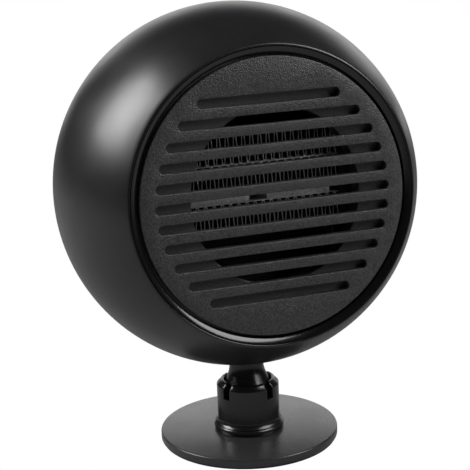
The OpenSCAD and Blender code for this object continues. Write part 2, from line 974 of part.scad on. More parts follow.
module rear_cover() {
    color(shell_black)
        in_head()
            difference() {
                union() {
                    difference() {
                        sphere(r = head_r, $fn = 200);
                        sphere(r = inner_r, $fn = 200);
                        translate([0, 0, -seam_s])
                            cylinder(r = 2 * head_r, h = 2 * head_r);
                        vent_slots();
                    }
                    intersection() {
                        sphere(r = head_r - shell_wall / 2, $fn = 200);
                        translate([0, 0, -hub_s])
                            cylinder(r = hub_r + 2, h = shell_wall);
                    }
                    intersection() {
                        lugs(rear_angles, rear_lug_r, -seam_s - lug_t, lug_t - run);
                        sphere(r = inner_r + shell_wall / 2, $fn = 200);
                    }
                }
                translate([0, 0, -hub_s - head_r])
                    cylinder(r = head_r, h = head_r);
                // deep holes that take the screws
                around(rear_angles, rear_lug_r + 4) {
                    translate([0, 0, -seam_s - lug_t - 1])
                        cylinder(r = screw_r, h = lug_t + 2);
                    translate([0, 0, -seam_s - lug_t - head_r])
                        cylinder(r = screw_head_r + 0.4, h = head_r);
                }
                translate([-cut_w / 2, switch_y - cut_h / 2, -head_r])
                    cube([cut_w, cut_h, shell_wall + head_r - hub_s + 1]);
                translate([0, inlet_y, -head_r])
                    cylinder(r = inlet_neck_r, h = head_r - hub_s + shell_wall + 1);
            }
}

module rear_screws() {
    color(steel)
        in_head()
            around(rear_angles, rear_lug_r + 4)
                mirror([0, 0, 1])
                    pan_screw(seam_s + lug_t, 2 * lug_t);
}

module switch_body() {
    color("#141414")
        in_head()
            translate([0, switch_y, 0])
                difference() {
                    union() {
                        translate([-switch_w / 2, -switch_h / 2, -hub_s - switch_rim])
                            cube([switch_w, switch_h, switch_rim]);
                        translate([-cut_w / 2, -cut_h / 2, -hub_s - eps])
                            cube([cut_w, cut_h, switch_d]);
                    }
                    translate([-cavity_w / 2, -cavity_h / 2, -hub_s - switch_rim - 1])
                        cube([cavity_w, cavity_h, cavity_d + switch_rim + 1]);
                    translate([0, 0, -hub_s + rocker_s])
                        rotate([0, 90, 0])
                            cylinder(r = rocker_pin_r + run, h = rocker_w + 2, center = true, $fn = 32);
                }
}

module switch_rocker() {
    color("#0d0d0d")
        in_head()
            translate([0, switch_y, -hub_s + rocker_s])
                rotate([0, 90, 0]) {
                    // outline: x outwards, y up
                    translate([0, 0, -rocker_w / 2])
                        linear_extrude(rocker_w)
                            difference() {
                                translate([-rocker_in, -rocker_h / 2])
                                    square([rocker_in + rocker_out, rocker_h]);
                                translate([rocker_out - dish_depth + dish_r, 0])
                                    circle(r = dish_r);
                                for (side = [-1, 1])
                                    translate([-rocker_in - 0.1, side * (rocker_h / 2 - 0.6)])
                                        rotate(side * trim_turn)
                                            square([trim_w, trim_w], center = true);
                            }
                    cylinder(r = rocker_pin_r, h = rocker_w + 1.8, center = true, $fn = 32);
                }
}

module switch_terminals() {
    color(brass)
        in_head()
            for (x = [-6, 0, 6])
                translate([x - 0.4, switch_y - 2.4, switch_d - hub_s - eps])
                    cube([0.8, 4.8, terminal_l]);
}

// grommet for a round cord, left empty
module cord_inlet() {
    color("#101010")
        in_head()
            translate([0, inlet_y, 0]) {
                tube(inlet_flange_r, inlet_r, -hub_s - inlet_flange_t, -hub_s);
                tube(inlet_neck_r, inlet_r, -hub_s - eps, -hub_s + shell_wall + eps);
                translate([0, 0, shell_wall - hub_s])
                    tube(inlet_flange_r - 0.3, inlet_r, 0, inlet_flange_t);
            }
}

// the two mains leads: tab, out past the frame, back through the carrier, to the switch
module element_wires() {
    tab_z = fin_s + tab_w / 2;
    end_z = switch_d - hub_s + terminal_l + wire_r + eps;
    upper = upper_plate_y + plate_t + wire_r;
    lower = lower_plate_y - wire_r;
    color("#7a1414")
        in_head() {
            wire([[-tab_l, upper, tab_z], [-wire_x, upper, tab_z], [-wire_x, upper, wire_back],
                  [-14, switch_y, end_z + 5], [-6, switch_y, end_z]], wire_r);
            wire([[-tab_l, lower, tab_z], [1 - wire_x, lower, tab_z], [1 - wire_x, lower, wire_back],
                  [-10, lower, end_z + 7], [0, switch_y, end_z]], wire_r);
        }
}

module fan_wires() {
    color("#c9c9c9")
        in_head()
            segment([9, -6, fan_back - fan_wire_r], [6, switch_y, switch_d - hub_s + terminal_l + fan_wire_r],
                    fan_wire_r);
}

base_pad();
foot_disc();
foot_screw();
collet_post();
ball_seat();
ball_liner();
neck_stem();
neck_washer();
neck_nut();
front_shell();
bezel_ring();
front_grille();
outlet_baffle();
baffle_screws();
element_frame();
upper_fins();
middle_fins();
lower_fins();
divider_strip();
ceramic_stones();
upper_electrode();
lower_electrode();
element_screws();
element_carrier();
carrier_screws();
thermostat();
thermal_fuse();
fan_frame();
fan_screws();
fan_bushes();
stator_core();
stator_coils();
fan_rotor();
rotor_magnet();
rotor_shaft();
rear_cover();
rear_screws();
switch_body();
switch_rocker();
switch_terminals();
cord_inlet();
element_wires();
fan_wires();
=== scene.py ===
# %% [markdown]
# # A small ceramic heater, finished in Blender
# The CAD model gives every piece its place and size. This script loads it, replaces the pieces
# that are seen with finely rounded ones, gives each piece a finish made of shader nodes, and sets
# up a small studio. All pieces are in metres; the helpers below work in millimetres.

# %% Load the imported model
import bpy
import bmesh
import json
from math import acos, asin, cos, degrees, pi, radians, sin, sqrt, tan
from mathutils import Matrix, Vector


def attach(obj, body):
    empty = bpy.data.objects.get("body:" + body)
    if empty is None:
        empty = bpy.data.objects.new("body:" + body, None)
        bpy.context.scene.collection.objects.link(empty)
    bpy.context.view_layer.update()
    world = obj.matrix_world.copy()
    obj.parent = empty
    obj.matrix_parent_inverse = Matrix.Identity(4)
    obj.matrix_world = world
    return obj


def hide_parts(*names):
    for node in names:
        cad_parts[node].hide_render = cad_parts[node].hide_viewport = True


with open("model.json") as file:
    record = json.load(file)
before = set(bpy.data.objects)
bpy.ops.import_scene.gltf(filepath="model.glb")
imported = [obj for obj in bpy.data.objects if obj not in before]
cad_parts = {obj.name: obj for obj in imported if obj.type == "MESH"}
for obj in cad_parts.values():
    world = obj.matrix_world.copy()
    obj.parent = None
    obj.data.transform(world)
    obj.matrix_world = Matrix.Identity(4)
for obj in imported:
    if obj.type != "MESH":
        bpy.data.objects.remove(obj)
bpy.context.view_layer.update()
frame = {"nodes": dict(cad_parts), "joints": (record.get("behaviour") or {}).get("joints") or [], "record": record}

# %% [markdown]
# ## The head's own directions
# The head is tilted on its ball, so its pieces are easiest to shape in a frame of their own: x to
# the right, y up along the head and z out of the face. The fan's joint already lies on that z
# axis, with its pivot at the centre of the round head, so the frame can be read from it. The post
# is shaped in a second frame with z up from the ball's centre.

# %% Head frame and ball frame
MM = 0.001
joints = {j["name"]: j for j in frame["joints"]}
face_axis = Vector(joints["fan_spin"]["axis"]).normalized()
head_centre = Vector(joints["fan_spin"]["pos_m"])
ball_centre = Vector(joints["head_swivel"]["pos_m"])
right = Vector((1, 0, 0))
head_up = face_axis.cross(right)
HEAD = Matrix((right, head_up, face_axis)).transposed().to_4x4()
HEAD.translation = head_centre
HEAD = HEAD @ Matrix.Diagonal((MM, MM, MM, 1))
BALL = Matrix.Translation(ball_centre) @ Matrix.Diagonal((MM, MM, MM, 1))
ROW = Matrix.Diagonal((MM, MM, MM, 1))
print("head tilt", round(degrees(asin(face_axis.z)), 2), "degrees")

# %% [markdown]
# ## The camera
# A long lens stands a little to the left of the face and looks down on it by about fifteen
# degrees. The small roll makes level lines climb slightly to the right.

# %% Camera
TURN, DROP, ROLL = radians(19.47), radians(14.76), radians(2.083)
look = Vector((sin(TURN) * cos(DROP), cos(TURN) * cos(DROP), -sin(DROP)))
level = look.cross(Vector((0, 0, 1))).normalized()
above = level.cross(look)
cam_right = cos(ROLL) * level - sin(ROLL) * above
cam_up = sin(ROLL) * level + cos(ROLL) * above
camera = bpy.data.objects.new("camera", bpy.data.cameras.new("camera"))
bpy.context.scene.collection.objects.link(camera)
camera.matrix_world = Matrix((cam_right, cam_up, -look)).transposed().to_4x4()
camera.location = Vector((-0.1554, -0.4324, 0.1935)) - 0.17 * MM * cam_right
camera.data.lens = 107.23
camera.data.sensor_width = 36
camera.data.clip_start = 0.02
bpy.context.scene.camera = camera
print("camera at", tuple(round(c, 3) for c in camera.location))

# %% [markdown]
# ## Moulded plastic
# Injection-moulded plastic is never one even colour. The tool is spark-eroded, which leaves a
# fine grain, the wall's thickness makes the gloss drift slowly, and handling leaves faint traces.
# One fine noise drives the bump, and one broad noise moves colour and roughness a little. All
# patterns read Object coordinates, so they stay on the piece when it turns.

# %% Plastic finishes
def new_material(name):
    material = bpy.data.materials.new(name)
    material.use_nodes = True
    return material, material.node_tree.nodes, material.node_tree.links


def noise(nodes, links, size_mm, detail=2.0, stretch=(1, 1, 1)):
    """A noise whose blobs are about size_mm across, on Object coordinates."""
    place = nodes.new("ShaderNodeTexCoord")
    mapping = nodes.new("ShaderNodeMapping")
    mapping.inputs["Scale"].default_value = stretch
    links.new(place.outputs["Object"], mapping.inputs["Vector"])
    texture = nodes.new("ShaderNodeTexNoise")
    texture.inputs["Scale"].default_value = 1000 / size_mm
    texture.inputs["Detail"].default_value = detail
    links.new(mapping.outputs["Vector"], texture.inputs["Vector"])
    return texture.outputs["Fac"]


def spread(nodes, links, factor, low, high):
    """Maps a noise's usual range onto low to high."""
    spreader = nodes.new("ShaderNodeMapRange")
    spreader.inputs["From Min"].default_value = 0.3
    spreader.inputs["From Max"].default_value = 0.7
    spreader.inputs["To Min"].default_value = low
    spreader.inputs["To Max"].default_value = high
    links.new(factor, spreader.inputs["Value"])
    return spreader.outputs["Result"]


def two_tones(nodes, links, factor, dark, light):
    mix = nodes.new("ShaderNodeMix")
    mix.data_type = "RGBA"
    mix.inputs["A"].default_value = (*dark, 1)
    mix.inputs["B"].default_value = (*light, 1)
    links.new(factor, mix.inputs["Factor"])
    return mix.outputs["Result"]


def plastic(name, tone, rough, grain_mm, grain_um, drift=0.25, gloss_drift=0.04, coat=0.0):
    material, nodes, links = new_material(name)
    shader = nodes["Principled BSDF"]
    shader.inputs["Coat Weight"].default_value = coat
    shader.inputs["Coat Roughness"].default_value = 0.12
    grain = noise(nodes, links, grain_mm)
    cloud = noise(nodes, links, 14)
    mottle = noise(nodes, links, 1.7 * grain_mm, 3)
    dark = tuple(c * (1 - drift) for c in tone)
    light = tuple(c * (1 + drift) for c in tone)
    links.new(two_tones(nodes, links, spread(nodes, links, mottle, 0, 1), dark, light), shader.inputs["Base Color"])
    links.new(spread(nodes, links, cloud, rough - gloss_drift, rough + gloss_drift), shader.inputs["Roughness"])
    bump = nodes.new("ShaderNodeBump")
    bump.inputs["Strength"].default_value = 0.6
    bump.inputs["Distance"].default_value = grain_um * 1e-6
    links.new(grain, bump.inputs["Height"])
    links.new(bump.outputs["Normal"], shader.inputs["Normal"])
    return material


shell_satin = plastic("shell_satin", (0.011, 0.011, 0.0115), 0.34, 0.35, 6, 0.2, 0.03)
bezel_gloss = plastic("bezel_gloss", (0.004, 0.004, 0.004), 0.16, 0.8, 2, 0.2, 0.02)
grille_spark = plastic("grille_spark", (0.032, 0.032, 0.034), 0.4, 0.42, 330, 0.6, 0.06)
baffle_matt = plastic("baffle_matt", (0.07, 0.07, 0.072), 0.35, 0.4, 20, 0.25, 0.05)
post_black = plastic("post_black", (0.009, 0.009, 0.0095), 0.24, 0.5, 4, 0.2, 0.03)
foot_satin = plastic("foot_satin", (0.028, 0.028, 0.029), 0.26, 0.3, 9, 0.2, 0.03)
frame_matt = plastic("frame_matt", (0.012, 0.012, 0.012), 0.6, 0.4, 20)
fan_black = plastic("fan_black", (0.014, 0.014, 0.0145), 0.45, 0.5, 10)
switch_matt = plastic("switch_matt", (0.014, 0.014, 0.014), 0.42, 0.3, 15)
rocker_gloss = plastic("rocker_gloss", (0.008, 0.008, 0.008), 0.22, 0.5, 3)
nylon_white = plastic("nylon_white", (0.7, 0.69, 0.64), 0.4, 0.6, 8, 0.04)
felt_liner = plastic("felt_liner", (0.5, 0.46, 0.36), 0.9, 0.25, 80, 0.15)
brown_phenolic = plastic("brown_phenolic", (0.09, 0.045, 0.022), 0.5, 0.4, 15)
ferrite_grey = plastic("ferrite_grey", (0.05, 0.05, 0.054), 0.7, 0.3, 25)
print("plastic finishes:", len(bpy.data.materials))

# %% [markdown]
# ## Rubber, metal and ceramic
# Metals take a stretched noise: rolled strip and turned parts show fine lines along the direction
# they were worked in. The electrodes' stones are fired ceramic with a sprayed metal skin, so they
# are pale with darker specks. Foam rubber is a plastic with deeper, softer pores.

# %% Other finishes
def metal(name, tone, rough, lines_mm=0.25, stretch=(1, 1, 0.08), depth_um=4):
    material, nodes, links = new_material(name)
    shader = nodes["Principled BSDF"]
    shader.inputs["Metallic"].default_value = 1.0
    lines = noise(nodes, links, lines_mm, 2, stretch)
    patches = noise(nodes, links, 4, 3)
    dark = tuple(c * 0.82 for c in tone)
    links.new(two_tones(nodes, links, spread(nodes, links, patches, 0, 1), dark, tone), shader.inputs["Base Color"])
    links.new(spread(nodes, links, lines, rough - 0.06, rough + 0.08), shader.inputs["Roughness"])
    bump = nodes.new("ShaderNodeBump")
    bump.inputs["Strength"].default_value = 0.5
    bump.inputs["Distance"].default_value = depth_um * 1e-6
    links.new(lines, bump.inputs["Height"])
    links.new(bump.outputs["Normal"], shader.inputs["Normal"])
    return material


def ceramic(name, tone, speck):
    material, nodes, links = new_material(name)
    shader = nodes["Principled BSDF"]
    shader.inputs["Roughness"].default_value = 0.55
    specks = noise(nodes, links, 0.7, 4)
    links.new(two_tones(nodes, links, spread(nodes, links, specks, 0, 1), speck, tone), shader.inputs["Base Color"])
    bump = nodes.new("ShaderNodeBump")
    bump.inputs["Distance"].default_value = 40e-6
    links.new(specks, bump.inputs["Height"])
    links.new(bump.outputs["Normal"], shader.inputs["Normal"])
    return material


pad_foam = plastic("pad_foam", (0.015, 0.015, 0.015), 0.85, 0.5, 120, 0.3)
inlet_rubber = plastic("inlet_rubber", (0.012, 0.012, 0.012), 0.6, 0.4, 20)
wire_red = plastic("wire_red", (0.25, 0.02, 0.02), 0.4, 0.5, 6, 0.1)
wire_grey = plastic("wire_grey", (0.45, 0.45, 0.45), 0.4, 0.5, 6, 0.1)
zinc_steel = metal("zinc_steel", (0.55, 0.56, 0.58), 0.3)
# the fin sheet's faces: a near-black copy of the fin metal, painted shade for the dark inside of the heater
fin_face_painted_shade = metal("fin_face_painted_shade", (0.055, 0.055, 0.058), 0.5, 0.3, (1, 1, 0.2))
fin_bright = metal("fin_bright", (0.75, 0.76, 0.77), 0.42, 0.3, (1, 1, 0.2))
fuse_case = metal("fuse_case", (0.7, 0.7, 0.72), 0.25)
bush_brass = metal("bush_brass", (0.62, 0.45, 0.2), 0.3)
core_steel = metal("core_steel", (0.3, 0.31, 0.32), 0.45)
coil_copper = metal("coil_copper", (0.6, 0.22, 0.09), 0.3, 0.3, (1, 1, 1), 30)
stone_skin = ceramic("stone_skin", (0.85, 0.85, 0.84), (0.45, 0.45, 0.44))
print("finishes in all:", len(bpy.data.materials))

# %% [markdown]
# ## From a bmesh to a finished piece
# Every new piece ends the same way: its mesh is moved from its working frame into the row's frame,
# its normals are made to point outwards, and it is shaded smoothly except at real corners. It
# rides on the body of the CAD node that it stands for.

# %% Finishing a piece
owner = {node: body for body, nodes in frame["record"]["behaviour"]["bodies"].items() for node in nodes}


def finished(bm, name, place, material, *nodes, corner=35):
    bmesh.ops.remove_doubles(bm, verts=bm.verts, dist=1e-4)
    bmesh.ops.recalc_face_normals(bm, faces=bm.faces)
    bmesh.ops.transform(bm, matrix=place, verts=bm.verts)
    mesh = bpy.data.meshes.new(name)
    bm.to_mesh(mesh)
    bm.free()
    mesh.shade_smooth()
    mesh.set_sharp_from_angle(angle=radians(corner))
    mesh.materials.append(material)
    piece = bpy.data.objects.new(name, mesh)
    bpy.context.scene.collection.objects.link(piece)
    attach(piece, owner[nodes[0]])
    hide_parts(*nodes)
    print(name, len(mesh.polygons), "faces, stands for", ", ".join(nodes))
    return piece


# %% [markdown]
# ## Turned pieces
# Most of this heater is round: shells, bezel, foot, post and neck are all turned shapes. A few
# points of the profile are joined by edges and spun once round the z axis. Edges that should be
# soft are then picked by their radius and height and bevelled, as a turner breaks a corner.

# %% Turning a profile
def arc(radius, start, end, steps, centre=(0.0, 0.0)):
    """Points (r, z) on a circle; angles in degrees from the z axis."""
    angles = [radians(start + (end - start) * i / steps) for i in range(steps + 1)]
    return [(centre[0] + radius * sin(a), centre[1] + radius * cos(a)) for a in angles]


def turned(profile, steps=128, closed=True, bm=None, start=0.0, sweep=360.0):
    """Spins a profile of (r, z) points round z. A closed profile makes a ring."""
    bm = bm or bmesh.new()
    verts = [bm.verts.new((r, 0, z)) for r, z in profile]
    bmesh.ops.rotate(bm, verts=verts, matrix=Matrix.Rotation(radians(start), 3, "Z"))
    pairs = list(zip(verts, verts[1:] + (verts[:1] if closed else [])))
    edges = [bm.edges.new(pair) for pair in pairs if pair[0] is not pair[1]]
    full = sweep == 360.0
    section = [] if full else [bm.faces.new(verts)]
    bmesh.ops.spin(bm, geom=verts + edges + section, axis=(0, 0, 1), cent=(0, 0, 0),
                   angle=radians(sweep), steps=steps, use_merge=full)
    bmesh.ops.remove_doubles(bm, verts=bm.verts, dist=1e-4)
    return bm


def break_edge(bm, radius, z, width, segments=3):
    """Rounds the ring of edges that lies at (radius, z)."""
    ring = [e for e in bm.edges
            if all(abs(sqrt(v.co.x ** 2 + v.co.y ** 2) - radius) < 0.02 and abs(v.co.z - z) < 0.02 for v in e.verts)]
    assert ring, (radius, z)
    bmesh.ops.bevel(bm, geom=ring, offset=width, offset_type="OFFSET", affect="EDGES", segments=segments,
                    profile=0.5, material=-1, clamp_overlap=True)
    return bm


def block(bm, size, centre, turn=None, rounding=0.0, segments=2):
    """Adds a box, with its edges rounded if asked."""
    place = Matrix.Translation(centre) @ (turn or Matrix.Identity(4)) @ Matrix.Diagonal((*size, 1))
    made = bmesh.ops.create_cube(bm, size=1, matrix=place)["verts"]
    if rounding:
        edges = list({e for v in made for e in v.link_edges})
        bmesh.ops.bevel(bm, geom=edges, offset=rounding, offset_type="OFFSET", affect="EDGES",
                        segments=segments, profile=0.5, material=-1, clamp_overlap=True)
    return bm


def rod(bm, r1, r2, z0, z1, centre=(0, 0), steps=32):
    """Adds a closed cylinder or cone from z0 to z1."""
    bmesh.ops.create_cone(bm, cap_ends=True, cap_tris=False, segments=steps, radius1=r1, radius2=r2,
                          depth=z1 - z0, matrix=Matrix.Translation((*centre, (z0 + z1) / 2)))
    return bm


def circle_z(radius, across):
    return sqrt(radius ** 2 - across ** 2)


# %% [markdown]
# ## The front shell
# The shell is a sphere cut by two planes: one for the face and one for the seam with the rear
# cover. Its front edge is a narrow rounded lip that catches a thin line of light. A whole sphere
# with pieces cut away would have to be cleaned up afterwards; a spun profile is clean at once.

# %% Front shell
HEAD_R, WALL, FACE_Z, SEAM_Z = 61.5, 2.2, 38.2, -26.0
INNER_R = HEAD_R - WALL
FACE_R = circle_z(HEAD_R, FACE_Z)
OPENING_R = FACE_R - 0.7
LUG_W, LUG_T = 10, 2.9


def angle_at(radius, z):
    return degrees(acos(z / radius))


def add_lugs(bm, angles, inner, z, end=INNER_R + 1.0):
    """Screw lugs that reach from radius inner into the wall."""
    for a in angles:
        spin = Matrix.Rotation(radians(a), 4, "Z")
        reach = circle_z(end, z + 3) if z > 0 else circle_z(end, z)
        middle = spin @ Vector(((reach + inner) / 2, 0, z + LUG_T / 2))
        block(bm, (reach - inner, LUG_W, LUG_T), middle, spin, 0.3)


profile = arc(HEAD_R, angle_at(HEAD_R, FACE_Z), angle_at(HEAD_R, SEAM_Z), 44)
profile += arc(INNER_R, angle_at(INNER_R, SEAM_Z), degrees(asin(OPENING_R / INNER_R)), 30)
profile += [(OPENING_R, FACE_Z)]
shell = turned(profile, 160)
break_edge(shell, FACE_R, FACE_Z, 0.3)
break_edge(shell, OPENING_R, FACE_Z, 0.35)
break_edge(shell, circle_z(HEAD_R, SEAM_Z), SEAM_Z, 0.3, 2)
add_lugs(shell, (45, 135, 225, 315), 38.6, 29.9)
add_lugs(shell, (30, 150, 210, 330), INNER_R - 8, 6.0)
add_lugs(shell, (45, 135, 225, 315), 44.0, SEAM_Z + 0.05)
front_shell = finished(shell, "shell_front", HEAD, shell_satin, "front_shell")

# %% [markdown]
# ## The bezel ring
# A glossy ring drops from the lip towards the grille. Its slope mirrors the surroundings, which
# draws the bright crescent under the face. The flat of the shell's lip is polished to match, so its
# faces take the same finish.

# %% Bezel ring
BEZEL_R = OPENING_R - 0.1
SLOPE_R = BEZEL_R - 2.0
SLOPE_Z = FACE_Z - 1.2
BAFFLE_Z = 34.4
ring = turned([(BEZEL_R, BAFFLE_Z), (BEZEL_R, FACE_Z), (BEZEL_R - 0.15, FACE_Z),
               (SLOPE_R, SLOPE_Z), (SLOPE_R, BAFFLE_Z)], 160)
break_edge(ring, SLOPE_R, SLOPE_Z, 0.3)
bezel = finished(ring, "bezel_gloss_ring", HEAD, bezel_gloss, "bezel_ring")
front_shell.data.materials.append(bezel_gloss)
to_head = HEAD.inverted()
for polygon in front_shell.data.polygons:
    at = to_head @ polygon.center
    if at.z > FACE_Z - 0.2 and at.xy.length < FACE_R - 0.2:
        polygon.material_index = 1

# %% [markdown]
# ## The slotted grille
# The grille is a flat disc with eleven rounded slots. The outline and the slots are drawn as
# loops, filled in one go, and extruded to the plate's thickness, which gives clean walls with no
# boolean. The sharp rims of the front face are then bevelled together, so each slot has the thin
# bright edge of a moulded part.

# %% Loops, filled plates and rounded rims
def ring_loop(bm, radius, steps=128, centre=(0, 0)):
    return bmesh.ops.create_circle(bm, segments=steps, radius=radius, matrix=Matrix.Translation((*centre, 0)))["verts"]


def slot_loop(bm, x0, x1, y, width, steps=20):
    """A rounded slot: a small circle whose halves are moved apart."""
    verts = ring_loop(bm, width / 2, steps, ((x0 + x1) / 2, y))
    middle = (x0 + x1) / 2
    shift = (x1 - x0 - width) / 2
    for v in verts:
        if abs(v.co.x - middle) > 1e-4:
            v.co.x += shift if v.co.x > middle else -shift
    return verts


def plate_from_loops(bm, z0, z1):
    """Fills the drawn loops, holes left open, and gives the plate its thickness."""
    bmesh.ops.triangle_fill(bm, use_beauty=True, use_dissolve=False, edges=bm.edges[:], normal=(0, 0, 1))
    bmesh.ops.translate(bm, verts=bm.verts[:], vec=(0, 0, z0))
    made = bmesh.ops.extrude_face_region(bm, geom=bm.faces[:], use_keep_orig=True)["geom"]
    bmesh.ops.translate(bm, verts=[v for v in made if isinstance(v, bmesh.types.BMVert)], vec=(0, 0, z1 - z0))
    bmesh.ops.recalc_face_normals(bm, faces=bm.faces[:])
    return bm


def round_rims(bm, width, segments=3, corner=60, where=lambda e: True):
    rims = [e for e in bm.edges if len(e.link_faces) == 2 and e.calc_face_angle(0) > radians(corner) and where(e)]
    bmesh.ops.bevel(bm, geom=rims, offset=width, offset_type="OFFSET", affect="EDGES", segments=segments,
                    profile=0.5, material=-1, clamp_overlap=True)
    return bm


# %% Front grille
GRILLE_R = SLOPE_R - 0.9
GRILLE_Z, GRILLE_BACK = 37.7, 35.2
SLOTS, PITCH, SLOT_W, REACH = 11, 6.28, 3.1, 39.4
grille_bm = bmesh.new()
ring_loop(grille_bm, GRILLE_R, 160)
for i in range(SLOTS):
    y = (i - SLOTS // 2) * PITCH
    half = circle_z(REACH, y)
    slot_loop(grille_bm, -half, half, y, SLOT_W)
plate_from_loops(grille_bm, GRILLE_BACK, GRILLE_Z)
round_rims(grille_bm, 0.3, where=lambda e: min(v.co.z for v in e.verts) > GRILLE_Z - 0.01)
for a in range(0, 360, 90):
    peg = Matrix.Rotation(radians(a), 3, "Z") @ Vector((GRILLE_R - 2.8, 0, 0))
    for radius, z0, z1 in ((2.1, BAFFLE_Z, GRILLE_BACK + 0.1), (1.3, 32.8, BAFFLE_Z + 0.1), (2.1, 32.0, 32.9)):
        rod(grille_bm, radius, radius, z0, z1, (peg.x, peg.y), 24)
grille = finished(grille_bm, "grille_slotted_disc", HEAD, grille_spark, "front_grille", corner=40)

# %% [markdown]
# ## The baffle behind the grille
# A plain plate with one round opening and a short collar leads the warm air to the slots. It is
# seen only in strips between the grille's bars, where the rim of its opening shows as an arc. The
# plate is turned first, and then its opening and collar are moved a little to the right.

# %% Outlet baffle
OUTLET_R, OUTLET_X, BAFFLE_BACK, COLLAR, COLLAR_WALL = 28.6, 1.7, 32.9, 4.4, 1.4
BAFFLE_R = circle_z(INNER_R, BAFFLE_Z) - 0.6
COLLAR_R = OUTLET_R + COLLAR_WALL
baffle_bm = turned([(OUTLET_R, BAFFLE_Z), (BAFFLE_R, BAFFLE_Z), (BAFFLE_R, BAFFLE_BACK), (COLLAR_R, BAFFLE_BACK),
                    (COLLAR_R, BAFFLE_BACK - COLLAR), (OUTLET_R, BAFFLE_BACK - COLLAR)], 128)
break_edge(baffle_bm, OUTLET_R, BAFFLE_Z, 0.4)
inner = [v for v in baffle_bm.verts if v.co.xy.length < OUTLET_R + 2]
bmesh.ops.translate(baffle_bm, verts=inner, vec=(OUTLET_X, 0, 0))
baffle = finished(baffle_bm, "outlet_baffle_plate", HEAD, baffle_matt, "outlet_baffle")

# %% Baffle screws
SCREW_RING = 42.0
heads_bm = bmesh.new()
for a in (45, 135, 225, 315):
    at = Matrix.Rotation(radians(a), 3, "Z") @ Vector((SCREW_RING, 0, 0))
    rod(heads_bm, 2.2, 2.3, BAFFLE_Z - 0.5, BAFFLE_Z + 0.05, (at.x, at.y), 24)
    rod(heads_bm, 1.25, 1.25, 30.0, BAFFLE_Z - 0.4, (at.x, at.y), 16)
round_rims(heads_bm, 0.15, 2)
baffle_screws = finished(heads_bm, "baffle_screw_set", HEAD, zinc_steel, "baffle_screws")

# %% [markdown]
# ## The folded fins
# Each row of fins is one strip of thin sheet folded up and down across the air flow. The fold is
# drawn as an open chain of edges, the folds are rounded by a bevel, the chain is extruded along
# the air flow, and a Solidify modifier gives the sheet its thickness. The sheet's faces are painted
# near black, as painted shade for the dark inside of the heater. Its cut edges keep the metal's own
# bright tone, so the modifier gives the rim the second material.

# %% Fin rows
FIN_H, FIN_PITCH, FINS, FIN_DEPTH, SHEET = 9.25, 2.8, 19, 15.0, 0.3
BANK = FINS * FIN_PITCH
FIN_Z = 11.5
STONE_Y, STONE_T, PLATE_T, STONE_L, STONE_GAP = -1.9, 2.4, 0.4, 22.0, 6.0
MIDDLE_Y = STONE_Y + STONE_T + PLATE_T
DIVIDER_Y = MIDDLE_Y + FIN_H
UPPER_Y = DIVIDER_Y + PLATE_T
LOWER_Y = STONE_Y - PLATE_T - FIN_H


def fin_row(name, node, y0):
    bm = bmesh.new()
    low, high = y0 + SHEET / 2, y0 + FIN_H - SHEET / 2
    folds = [(-BANK / 2, low)]
    for i in range(FINS):
        x = -BANK / 2 + i * FIN_PITCH
        folds += [(x + 0.14 * FIN_PITCH, low), (x + 0.36 * FIN_PITCH, high),
                  (x + 0.64 * FIN_PITCH, high), (x + 0.86 * FIN_PITCH, low)]
    folds.append((BANK / 2, low))
    chain = [bm.verts.new((x, y, FIN_Z)) for x, y in folds]
    edges = [bm.edges.new(pair) for pair in zip(chain, chain[1:])]
    bmesh.ops.bevel(bm, geom=chain[1:-1], offset=0.3, offset_type="OFFSET", affect="VERTICES", segments=3,
                    profile=0.5, material=-1, clamp_overlap=True)
    sheet = bmesh.ops.extrude_edge_only(bm, edges=bm.edges[:])["geom"]
    bmesh.ops.translate(bm, verts=[v for v in sheet if isinstance(v, bmesh.types.BMVert)], vec=(0, 0, FIN_DEPTH))
    # the sheet's faces take the painted shade; the rim takes the metal's real bright tone
    row = finished(bm, name, HEAD, fin_face_painted_shade, node, corner=60)
    row.data.materials.append(fin_bright)
    wall = row.modifiers.new("sheet", "SOLIDIFY")
    wall.material_offset_rim = 1
    wall.thickness = SHEET * MM
    wall.offset = 0
    return row


fin_rows = [fin_row("fins_upper_row", "upper_fins", UPPER_Y),
            fin_row("fins_middle_row", "middle_fins", MIDDLE_Y),
            fin_row("fins_lower_row", "lower_fins", LOWER_Y)]
print("fin sheet", sum(len(r.data.vertices) for r in fin_rows), "vertices")

# %% [markdown]
# ## Plates and stones
# Thin plates carry the current to the stones, and a plain strip parts the upper two rows. The
# stones are fired slabs with softly broken edges.

# %% Plates and stones
def crimped_plate(name, node, y, tab=0.0):
    bm = bmesh.new()
    block(bm, (BANK + 1, PLATE_T, FIN_DEPTH), (0, y + PLATE_T / 2, FIN_Z + FIN_DEPTH / 2), rounding=0.08)
    if tab:
        block(bm, (tab - BANK / 2, PLATE_T, 6), (-(tab + BANK / 2) / 2, y + PLATE_T / 2, FIN_Z + 3), rounding=0.08)
    return finished(bm, name, HEAD, fin_bright, node)


divider = crimped_plate("divider_plate", "divider_strip", DIVIDER_Y)
upper_plate = crimped_plate("electrode_upper_plate", "upper_electrode", STONE_Y + STONE_T, 38)
lower_plate = crimped_plate("electrode_lower_plate", "lower_electrode", STONE_Y - PLATE_T, 38)
stones_bm = bmesh.new()
for i in range(2):
    x = -BANK / 2 + i * (STONE_L + STONE_GAP) + STONE_L / 2
    block(stones_bm, (STONE_L, STONE_T, FIN_DEPTH), (x, STONE_Y + STONE_T / 2, FIN_Z + FIN_DEPTH / 2), rounding=0.2)
stones = finished(stones_bm, "ceramic_stone_pair", HEAD, stone_skin, "ceramic_stones")

# %% [markdown]
# ## Foot and pad
# The foot is a turned disc with a generous round on its upper edge; a foam pad sits under it, set
# in a little so that only its shadow line shows.

